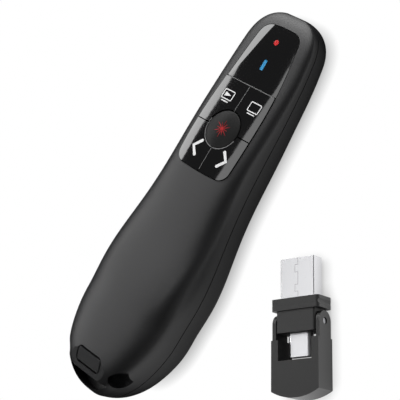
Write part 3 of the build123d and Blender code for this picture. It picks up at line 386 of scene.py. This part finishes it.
# %% [markdown]
# The window isn't quite flat: along its left side it falls away in a long blade that starts broad
# at the nose and runs out at the keys. A fold of a few degrees is enough to catch a softbox, so
# we fold the finish with a Bump node: its height is how far a point lies beyond the blade's line.
# %% The window's blade
BLADE_ACROSS = (-1.0, 0.27, 0.0)
BLADE_FROM = 21.2 * MM
BLADE_FALL = 0.075
tree = window_black.node_tree
across = {0: object_place(tree), 1: BLADE_ACROSS}
beyond = add_node(tree, "ShaderNodeVectorMath", across, operation="DOT_PRODUCT").outputs["Value"]
past_line = {0: beyond, 1: BLADE_FROM}
height = add_node(tree, "ShaderNodeMath", past_line, operation="SUBTRACT", use_clamp=True).outputs[0]
grain_bump = next(n for n in tree.nodes if n.type == "BUMP")
sloped = {"Strength": 1.0, "Distance": BLADE_FALL, "Height": height}
fold = add_node(tree, "ShaderNodeBump", sloped, invert=True)
fill(tree, grain_bump, {"Normal": fold.outputs["Normal"]})
print("blade folded by", round(degrees(BLADE_FALL), 1), "degrees")

# %% [markdown]
# ## Circuit boards
# Under green solder mask the copper tracks stand out a little lighter. They can't be seen until a
# key or the door is off, so a Brick pattern is enough: its mortar lines stand for the tracks.
# %% Green boards
TRACKS_PER_METRE, TRACK_WIDTH = 160.0, 0.04
board_green = plastic("board_green", (0.01, 0.1, 0.04), 0.25, grain=900.0)
tree = board_green.node_tree
tracks = {
    "Vector": object_place(tree),
    "Scale": TRACKS_PER_METRE,
    "Mortar Size": TRACK_WIDTH,
    "Color1": (0.008, 0.09, 0.035, 1),
    "Color2": (0.012, 0.12, 0.045, 1),
    "Mortar": (0.04, 0.24, 0.09, 1),
}
pattern = add_node(tree, "ShaderNodeTexBrick", tracks).outputs["Color"]
fill(tree, tree.nodes["Principled BSDF"], {"Base Color": pattern})
print("boards made")

# %% [markdown]
# ## Metals
# The plugs are drawn steel, the contacts nickel, the laser's barrel turned brass. What differs is
# the colour and how rough they are, so one function takes both and the streak group does the rest.
# %% Metals from the streak group
def metal(name, colour, roughness, squeeze=(1, 1, 1), bump=0.02):
    """Make a metal with fine drawn streaks, squeezed along an axis."""
    made, tree, shader = new_material(name)
    effect = tree.nodes.new("ShaderNodeGroup")
    effect.node_tree = STREAKS
    fill(tree, effect, {"Squeeze": squeeze, "Roughness": roughness})
    fill(tree, shader, {
        "Base Color": (*colour, 1),
        "Metallic": 1.0,
        "Roughness": effect.outputs["Roughness"],
        "Normal": bumped(tree, effect.outputs["Height"], bump),
    })
    return made


plug_steel = metal("plug_steel", (0.4, 0.4, 0.41), 0.3, squeeze=(1, 0.05, 1), bump=0.003)
bright_steel = metal("bright_steel", (0.22, 0.22, 0.23), 0.35)
laser_brass = metal("laser_brass", (0.7, 0.5, 0.2), 0.3)
ring_chrome = metal("ring_chrome", (0.55, 0.55, 0.57), 0.15)
nickel = metal("nickel", (0.62, 0.6, 0.57), 0.25)
print("metals made")


# %% [markdown]
# ## Cells
# A dry cell is a bright can in a printed foil jacket that leaves its two ends bare, and here the
# foil is plain dark grey with a copper band. We could cut the can into pieces, but a finish is
# enough: it finds the ends and the band by how far a point lies along the cell.
# %% Cell jacket
def banded(tree, source, edges, colours):
    """Colour by place along one axis: a ramp with sharp steps."""
    ramp = tree.nodes.new("ShaderNodeValToRGB")
    ramp.color_ramp.interpolation = "CONSTANT"
    steps = ramp.color_ramp.elements
    while len(steps) < len(edges):
        steps.new(0.5)
    for step, edge, colour in zip(steps, edges, colours):
        step.position = edge
        step.color = (*colour, 1)
    fill(tree, ramp, {"Fac": source})
    return ramp.outputs["Color"]


FOIL, COPPER, CAN = (0.03, 0.03, 0.035), (0.45, 0.2, 0.09), (0.5, 0.5, 0.5)
BAND_EDGES = (0.0, 0.035, 0.24, 0.96)
cell_jacket = metal("cell_jacket", FOIL, 0.35)
tree = cell_jacket.node_tree
cell_low, cell_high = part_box("aaa_cells")
split = add_node(tree, "ShaderNodeSeparateXYZ", {"Vector": object_place(tree)})
along_cell = ranged(tree, split.outputs["Y"], cell_low[1], cell_high[1], 0.0, 1.0)
jacket = banded(tree, along_cell, BAND_EDGES, (CAN, COPPER, FOIL, CAN))
fill(tree, tree.nodes["Principled BSDF"], {"Base Color": jacket})
print("cells from", round(cell_low[1], 4), "to", round(cell_high[1], 4))


# %% [markdown]
# ## Light pipes
# The red lens and the blue bar are coloured resin over a diode, and they are lit. A lamp behind
# clear glass would take long to render and look no better, so the resin glows by itself.
# %% Resins
def lamp_resin(name, colour, glow):
    """Make a lit light pipe: coloured resin that glows."""
    made, tree, shader = new_material(name)
    effect = tree.nodes.new("ShaderNodeGroup")
    effect.node_tree = CLOUD
    fill(tree, effect, {"Colour": (*colour, 1)})
    tint = effect.outputs["Colour"]
    resin = {"Base Color": tint, "Emission Color": tint, "Emission Strength": glow, "Roughness": 0.2}
    fill(tree, shader, resin)
    return made


red_light = lamp_resin("red_light", (0.3, 0.001, 0.002), 0.6)
blue_light = lamp_resin("blue_light", (0.006, 0.13, 0.27), 0.6)
clear_resin = lamp_resin("clear_resin", (0.75, 0.75, 0.7), 0.0)
lens_glass = lamp_resin("lens_glass", (0.5, 0.02, 0.02), 0.4)
print("resins made")

# %% [markdown]
# ## Which piece has which finish
# The frame comes with plain materials. We list the nodes under their finish, clear what they have
# and give them the new one. The last line should find no node left out.
# %% Finishes
FINISHES = {
    shell_black: ["top_shell", "bottom_shell", "battery_door", "power_knob"],
    window_black: ["indicator_window"],
    gloss_black: ["play_key", "blank_key", "back_key", "forward_key"],
    key_grey: ["laser_key"],
    receiver_black: ["receiver_body", "receiver_cap"],
    inner_black: ["switch_bodies", "power_switch", "usb_a_tongue", "usb_c_core"],
    plunger_white: [name for name in nodes if name.endswith("_plunger")],
    board_green: ["circuit_board", "receiver_board"],
    plug_steel: ["usb_a_shell", "usb_c_shell"],
    bright_steel: ["cap_pins", "housing_screws", "radio_shield"],
    laser_brass: ["laser_barrel"],
    ring_chrome: ["outlet_ring"],
    nickel: ["plate_contacts", "spring_contacts"],
    cell_jacket: ["aaa_cells"],
    red_light: ["status_lens"],
    blue_light: ["signal_bar"],
    clear_resin: ["status_led", "signal_led"],
    lens_glass: ["laser_lens"],
}
for finish, names in FINISHES.items():
    for name in names:
        nodes[name].data.materials.clear()
        nodes[name].data.materials.append(finish)
left = [name for name, node in nodes.items() if not node.data.materials]
print("nodes without a finish:", left)

# %% [markdown]
# ## Printed signs
# The signs are pad-printed: an ink skin a few hundredths of a millimetre thick that bends with the
# crowned key under it. A picture on the key could show them, but a skin has a true edge at any
# distance. We draw each sign flat at the world's origin from planes and circles, carry it over the
# key deck, drop it on its key with a Shrinkwrap, and give it a thickness with a Solidify. A sign
# rides on its key's body, so it goes down with the key.
# %% The key deck's own axes
SLOPE = radians(7.8)
DECK_AT = Vector((0, 25.6, 16.366)) * MM
ACROSS_DIR = Vector((1, 0, 0))
AHEAD_DIR = Vector((0, cos(SLOPE), -sin(SLOPE)))
DECK_UP = Vector((0, sin(SLOPE), cos(SLOPE)))
deck_turn = Matrix((ACROSS_DIR, AHEAD_DIR, DECK_UP)).transposed().to_4x4()


def over_deck(x, v, height):
    """The point x mm to the right, v mm ahead and some mm over the deck's middle."""
    return DECK_AT + MM * (x * ACROSS_DIR + v * AHEAD_DIR + height * DECK_UP)


def deck_height(point):
    """How high a point lies over the deck, in mm."""
    return (point - DECK_AT).dot(DECK_UP) / MM


print("deck at", tuple(DECK_AT))


# %% [markdown]
# ### Modelling by hand, in code
# By hand one selects a piece, opens edit mode, selects some of its points or faces and calls an
# operator. In code it is the same, but a selection needs a rule: `pick` takes a test of where an
# element lies. Everything is deselected first, because an operator acts on all that is selected.
# %% Helpers: select
def only(piece):
    """Select this object and nothing else."""
    bpy.ops.object.select_all(action="DESELECT")
    piece.select_set(True)
    bpy.context.view_layer.objects.active = piece


def pick(piece, test=None, kind="FACE"):
    """Open edit mode with all selected, or only the points or faces whose middle passes a test."""
    only(piece)
    bpy.ops.object.mode_set(mode="EDIT")
    bpy.ops.mesh.select_mode(type=kind)
    if test is None:
        bpy.ops.mesh.select_all(action="SELECT")
        return
    bpy.ops.mesh.select_all(action="DESELECT")
    bpy.ops.object.mode_set(mode="OBJECT")
    if kind == "VERT":
        for point in piece.data.vertices:
            point.select = test(point.co)
    else:
        for face in piece.data.polygons:
            face.select = test(face.center)
    bpy.ops.object.mode_set(mode="EDIT")


def close_edit():
    """Leave edit mode."""
    bpy.ops.object.mode_set(mode="OBJECT")


print("ready to select")


# %% Helpers: draw flat pieces
def keep_place():
    """Move the active piece's place, turn and scale into its mesh."""
    bpy.ops.object.transform_apply(location=True, rotation=True, scale=True)


def sheet(name, width, height, x=0.0, y=0.0, corner=0.0):
    """A flat rounded rectangle in mm, drawn at the origin."""
    bpy.ops.object.select_all(action="DESELECT")
    bpy.ops.mesh.primitive_plane_add(size=MM, location=(x * MM, y * MM, 0))
    piece = bpy.context.object
    piece.name = name
    piece.scale = (width, height, 1)
    keep_place()
    if corner:
        pick(piece, kind="VERT")
        bpy.ops.mesh.bevel(offset=corner * MM, segments=5, affect="VERTICES")
        close_edit()
    return piece


def disc(corners, radius):
    """A flat disc, or with few corners a polygon, with its radius in mm."""
    bpy.ops.object.select_all(action="DESELECT")
    bpy.ops.mesh.primitive_circle_add(vertices=corners, radius=radius * MM, fill_type="NGON")
    return bpy.context.object


def hollow(piece, rim):
    """Leave only a rim of a flat piece, some mm wide, and stay in edit mode."""
    pick(piece)
    bpy.ops.mesh.inset(thickness=rim * MM)
    bpy.ops.mesh.delete(type="FACE")


print("ready to draw")


# %% Helpers: join, copy and lay on
def joined(name, pieces):
    """Make one object of several."""
    only(pieces[0])
    for piece in pieces[1:]:
        piece.select_set(True)
    bpy.ops.object.join()
    whole = bpy.context.object
    whole.name = name
    whole.data.name = name
    return whole


def copied(piece):
    """A copy of a piece with a mesh of its own."""
    only(piece)
    bpy.ops.object.duplicate()
    return bpy.context.object


def apply(piece, kind, **settings):
    """Add a modifier, set it and apply it."""
    only(piece)
    step = piece.modifiers.new(kind.lower(), kind)
    for key, value in settings.items():
        setattr(step, key, value)
    bpy.ops.object.modifier_apply(modifier=step.name)


def drop_on(piece, carrier, sink):
    """Drop a drawing straight down its own Z on a node, and a hair of sink mm into it."""
    apply(
        piece, "SHRINKWRAP", target=nodes[carrier], wrap_method="PROJECT", use_project_z=True,
        use_negative_direction=True, use_positive_direction=False, offset=-sink * MM,
    )


def thicken(piece, thickness, side):
    """Give a flat piece a wall in mm on one side, 1 up or -1 down, with its faces outwards."""
    apply(piece, "SOLIDIFY", thickness=thickness * MM, offset=side)
    keep_place()
    pick(piece)
    bpy.ops.mesh.normals_make_consistent(inside=False)
    close_edit()


print("ready to join and lay on")

# %% [markdown]
# ### Printing
# White ink hides the black under it and red ink lies thin and uneven on it, so the red is dark and
# mottled. A drawing has to be cut up finely before it can bend, and it starts well over its key.
# `SIGN_AT` says where each sign's middle lies on the deck, to the right and ahead.
# %% Printing a drawing on a key
INK, INK_SINK = 0.04, 0.01
DROP_FROM = 2.0
SIGN_AT = {
    "play": (-5.65, 10.4),
    "blank": (6.27, 10.4),
    "back": (-5.8, -8.6),
    "forward": (6.9, -8.5),
    "laser": (0.0, 0.0),
}
printed = {"roughness": 0.5, "grain": 3000.0, "bump": 0.03}
white_ink = plastic("white_ink", (0.5, 0.5, 0.5), mottle=0.06, shine=0.2, **printed)
red_ink = plastic("red_ink", (0.2, 0.001, 0.003), mottle=0.9, shine=0.1, **printed)


def print_on(drawing, key, ink, cuts=2):
    """Carry a flat drawing over the deck, drop it on its key and make it a thin skin."""
    pick(drawing)
    bpy.ops.mesh.quads_convert_to_tris()
    bpy.ops.mesh.subdivide(number_cuts=cuts)
    close_edit()
    drawing.matrix_world = Matrix.Translation(over_deck(*SIGN_AT[key], DROP_FROM)) @ deck_turn
    drop_on(drawing, f"{key}_key", INK_SINK)
    thicken(drawing, INK, 1.0)
    drawing.data.materials.append(ink)
    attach(drawing, f"{key}_button")
    heights = [round(deck_height(point.co), 2) for point in drawing.data.vertices]
    print(drawing.name, len(drawing.data.polygons), "faces, deck height", min(heights), "to", max(heights))


# %% [markdown]
# ### Screen signs
# The two front keys carry a screen: a rounded plane whose middle is inset and deleted, with a
# short foot line under it. The left one starts the show, so a long triangle, a stretched circle
# of three points, is set in it. We draw the screen once and copy it.
# %% Screen signs
SCREEN, SCREEN_CORNER = (4.65, 3.35), 0.55
LINE = 0.32
FOOT, FOOT_DROP, FOOT_CORNER = (3.1, 0.34), 0.64, 0.1
TRIANGLE_R, TRIANGLE_STRETCH, TRIANGLE_X, TRIANGLE_CORNER = 1.05, (0.85, 1.7, 1), -0.5, 0.12
screen = sheet("screen", *SCREEN, corner=SCREEN_CORNER)
hollow(screen, LINE)
close_edit()
foot = sheet("foot", *FOOT, y=-SCREEN[1] / 2 - FOOT_DROP, corner=FOOT_CORNER)
blank_sign = joined("blank_sign", [screen, foot])
play_sign = copied(blank_sign)
triangle = disc(3, TRIANGLE_R)
triangle.rotation_euler = (0, 0, -radians(90))
triangle.scale = TRIANGLE_STRETCH
triangle.location = (TRIANGLE_X * MM, 0, 0)
keep_place()
pick(triangle, kind="VERT")
bpy.ops.mesh.bevel(offset=TRIANGLE_CORNER * MM, segments=3, affect="VERTICES")
close_edit()
play_sign = joined("play_sign", [play_sign, triangle])
print_on(play_sign, "play", white_ink)
print_on(blank_sign, "blank", white_ink)

# %% [markdown]
# ### Page signs
# The rear keys turn the pages, back and forward. A chevron is one round-ended bar: turned, cut
# off along the middle line with a bisect, and mirrored over it, so that both arms are alike.
# %% Page signs
STROKE, BAR, OPENING = 1.05, 4.5, radians(46)
ROUND_END = STROKE / 2.1  # a hair under half, so that the two corners of an end don't meet
CHEVRON_SHIFT = 1.2


def chevron(name, side):
    """A page sign pointing to side, -1 left or 1 right."""
    piece = sheet(name, BAR, STROKE, x=BAR / 2 - STROKE / 2, corner=ROUND_END)
    piece.rotation_euler = (0, 0, OPENING if side < 0 else pi - OPENING)
    keep_place()
    pick(piece)
    bpy.ops.mesh.bisect(plane_co=(0, 0, 0), plane_no=(0, 1, 0), clear_inner=True)
    bpy.ops.mesh.select_all(action="SELECT")
    bpy.ops.transform.translate(value=(side * CHEVRON_SHIFT * MM, 0, 0))
    close_edit()
    apply(piece, "MIRROR", use_axis=(False, True, False))
    return piece


print_on(chevron("back_sign", -1), "back", white_ink, cuts=3)
print_on(chevron("forward_sign", 1), "forward", white_ink, cuts=3)

# %% [markdown]
# ### Burst sign
# The round key's sign is a burst of light: a small disc with a long and a short ray, both pointed.
# We make one ray and its shorter copy, and spin the pair round the middle into six.
# %% Burst sign
RAY, RAY_Y, POINTED = (0.28, 2.2), 1.85, 0.35
OUTER_Y, SHORTER = 2.0, 0.75
RAY_PAIRS, CORE_R, CORE_RIM, CORE_POINTS = 6, 0.66, 0.25, 18


def at_tip(point):
    """True for a ray's outer points."""
    return point.y > OUTER_Y * MM


burst = sheet("burst_sign", *RAY, y=RAY_Y)
pick(burst, at_tip, "VERT")
bpy.ops.transform.resize(value=(POINTED, 1, 1))
close_edit()
short_ray = copied(burst)
pick(short_ray, at_tip, "VERT")
bpy.ops.transform.translate(value=(0, -SHORTER * MM, 0))
close_edit()
short_ray.rotation_euler = (0, 0, pi / RAY_PAIRS)
keep_place()
burst = joined("burst_sign", [burst, short_ray])
pick(burst)
bpy.ops.mesh.spin(steps=RAY_PAIRS, angle=2 * pi, dupli=True, center=(0, 0, 0), axis=(0, 0, 1))
close_edit()
core = disc(CORE_POINTS, CORE_R)
pick(core)
bpy.ops.mesh.inset(thickness=CORE_RIM * MM)
close_edit()
burst = joined("burst_sign", [burst, core])
print_on(burst, "laser", red_ink)

# %% [markdown]
# ## The web between the keys
# In the gaps between the keys one sees a dull grey line along each joint and round the lower half
# of the round key: the rubber mat the keys stand on, drawn lighter than the mat so that it also
# stands in for the highlight on the keys' edges, a painted highlight. The whole mat would be hidden
# work, so we draw only its lines, flat and a little narrower than the gaps, and lower each point to
# just under the keys beside it.
# %% Height of the keys
BESIDE, RAY_FROM, LEVEL = 0.45, 3.0, 0.9
OUTER_KEYS = ("play_key", "blank_key", "back_key", "forward_key", "indicator_window")


def key_top(x, v):
    """Height of the keys' surface over the deck near a point, in mm: the lowest one beside it."""
    found = []
    for dx, dv in ((BESIDE, 0), (-BESIDE, 0), (0, BESIDE), (0, -BESIDE)):
        for name in OUTER_KEYS:
            start = over_deck(x + dx, v + dv, RAY_FROM)
            hit, place, normal, face = nodes[name].ray_cast(start, -DECK_UP)
            if hit and normal.dot(DECK_UP) > LEVEL:
                found.append(deck_height(place))
    return min(found) if found else None


print("keys stand", round(key_top(0.0, 10.0), 2), "mm over the deck by the middle joint")

# %% Rubber web in the gaps, with its painted highlight
WEB, WEB_DEPTH, WEB_SPAN, WEB_CUTS = 0.26, 0.3, 20.6, 24
SPLIT_V, RING_R, RING_POINTS, REAR_V = 16.05, 6.57, 96, -14.6
RING_GAP, UNDER_KEYS = 0.2, 0.1
RING_CUT = (0.25, 1, 0)
# Painted highlight: this grey is lighter than the black keys to stand for the light on their edges; the
# mat under them is real.
mat_and_painted_edge_highlight = plastic("mat_and_painted_edge_highlight", (0.07, 0.07, 0.07), 0.6, grain=3500.0)
lines = [
    sheet("web", WEB_SPAN, WEB, y=SPLIT_V),
    sheet("web", WEB, SPLIT_V - RING_R - RING_GAP, y=(SPLIT_V + RING_R) / 2),
    sheet("web", WEB, -REAR_V - RING_R - RING_GAP, y=(REAR_V - RING_R) / 2),
]
ring = disc(RING_POINTS, RING_R + WEB / 2)
hollow(ring, WEB)
bpy.ops.mesh.select_all(action="SELECT")
bpy.ops.mesh.bisect(plane_co=(0, 0, 0), plane_no=RING_CUT, clear_outer=True)
close_edit()
for line in lines:
    pick(line)
    bpy.ops.mesh.subdivide(number_cuts=WEB_CUTS)
    close_edit()
web = joined("key_web", [*lines, ring])
for point in web.data.vertices:
    top = key_top(point.co.x / MM, point.co.y / MM)
    point.co.z = (0.0 if top is None else top - UNDER_KEYS) * MM
web.matrix_world = Matrix.Translation(DECK_AT) @ deck_turn
thicken(web, WEB_DEPTH, -1.0)
web.data.materials.append(mat_and_painted_edge_highlight)
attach(web, "housing")
print("key_web:", len(web.data.polygons), "faces")

# %% [markdown]
# ## The ends of the strap bar
# The bar for the wrist strap has a slit ahead of it and one behind, and at each end a thin black
# skin joins the two: painted shadow that carries the slits' dark line round the bar's ends. Both
# ends come from one rounded rectangle: we inset it, delete its middle, keep its left end with a
# bisect, mirror that, and lay both on the facet.
# %% Lines round the bar's ends
FACET_TILT, BAR_Y, WELL_ABOVE = radians(18.0), -57.1, 40
FRAME_SIZE, FRAME_CORNER, FRAME_LINE, FRAME_END = (11.7, 5.4), 1.5, 0.6, 4.9
LINE_DEPTH, LINE_SINK = 0.02, 0.005
# Painted shadow: a near-black skin laid on the facet, not a groove cut into it.
painted_slit_shadow = plastic("painted_slit_shadow", (0.0015, 0.0015, 0.0015), 0.7, shine=0.05)
above_bar = Vector((0, BAR_Y, WELL_ABOVE)) * MM
hit, on_facet, normal, face = nodes["top_shell"].ray_cast(above_bar, Vector((0, 0, -1)))
over_facet = on_facet + DROP_FROM * MM * Vector((0, -sin(FACET_TILT), cos(FACET_TILT)))
print("bar's middle at", tuple(round(c / MM, 2) for c in on_facet))
bar_end = sheet("bar_end_shadow", *FRAME_SIZE, corner=FRAME_CORNER)
hollow(bar_end, FRAME_LINE)
bpy.ops.mesh.select_all(action="SELECT")
bpy.ops.mesh.bisect(plane_co=(-FRAME_END * MM, 0, 0), plane_no=(1, 0, 0), clear_outer=True)
close_edit()
apply(bar_end, "MIRROR", use_axis=(True, False, False))
pick(bar_end)
bpy.ops.mesh.quads_convert_to_tris()
bpy.ops.mesh.subdivide(number_cuts=1)
close_edit()
bar_end.matrix_world = Matrix.Translation(over_facet) @ Matrix.Rotation(FACET_TILT, 4, "X")
drop_on(bar_end, "top_shell", LINE_SINK)
thicken(bar_end, LINE_DEPTH, 1.0)
bar_end.data.materials.append(painted_slit_shadow)
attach(bar_end, "housing")
print("bar_end_shadow:", len(bar_end.data.polygons), "faces")

# %% [markdown]
# ## The plug's seam
# A USB-A shell is a strip of steel folded round and locked with two square tabs, and the joint
# shows on its upper face as a fine dark line with two jogs. We lay narrow strips end to end on
# the face and give them a hair of thickness.
# %% Seam of the USB-A shell
RECEIVER_AT = Vector((50.6, -14.8, 0)) * MM
OUTWARD = Vector((-sin(RECEIVER_TURN), cos(RECEIVER_TURN), 0))
SEAM, SEAM_DEPTH, SEAM_SINK = 0.13, 0.02, 0.01
MAIN, JOG = 0.3, -0.75  # where the line runs, from the plug's middle
RUNS = [(0.0, 2.1, MAIN), (2.1, 4.4, JOG), (4.4, 8.2, MAIN), (8.2, 10.3, JOG), (10.3, 12.3, MAIN)]
plug_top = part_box("usb_a_shell")[1][2]
points = nodes["usb_a_shell"].data.vertices
tip = max((point.co - RECEIVER_AT).dot(OUTWARD) for point in points) / MM
strips = [sheet("run", SEAM, b - a + SEAM, x=u, y=tip - (a + b) / 2) for a, b, u in RUNS]
strips += [sheet("step", MAIN - JOG, SEAM, x=(MAIN + JOG) / 2, y=tip - a) for a, b, u in RUNS[1:]]
usb_seam = joined("usb_seam", strips)
on_plug = Matrix.Translation((RECEIVER_AT.x, RECEIVER_AT.y, plug_top - SEAM_SINK * MM))
usb_seam.matrix_world = on_plug @ Matrix.Rotation(RECEIVER_TURN, 4, "Z")
thicken(usb_seam, SEAM_DEPTH, 1.0)
usb_seam.data.materials.append(metal("seam_steel", (0.2, 0.2, 0.2), 0.5))
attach(usb_seam, "receiver")
print("usb_seam:", len(usb_seam.data.polygons), "faces, plug", round(tip, 2), "mm long from the hinge")

# %% [markdown]
# ## Done
# %% Finish
bpy.ops.object.select_all(action="DESELECT")
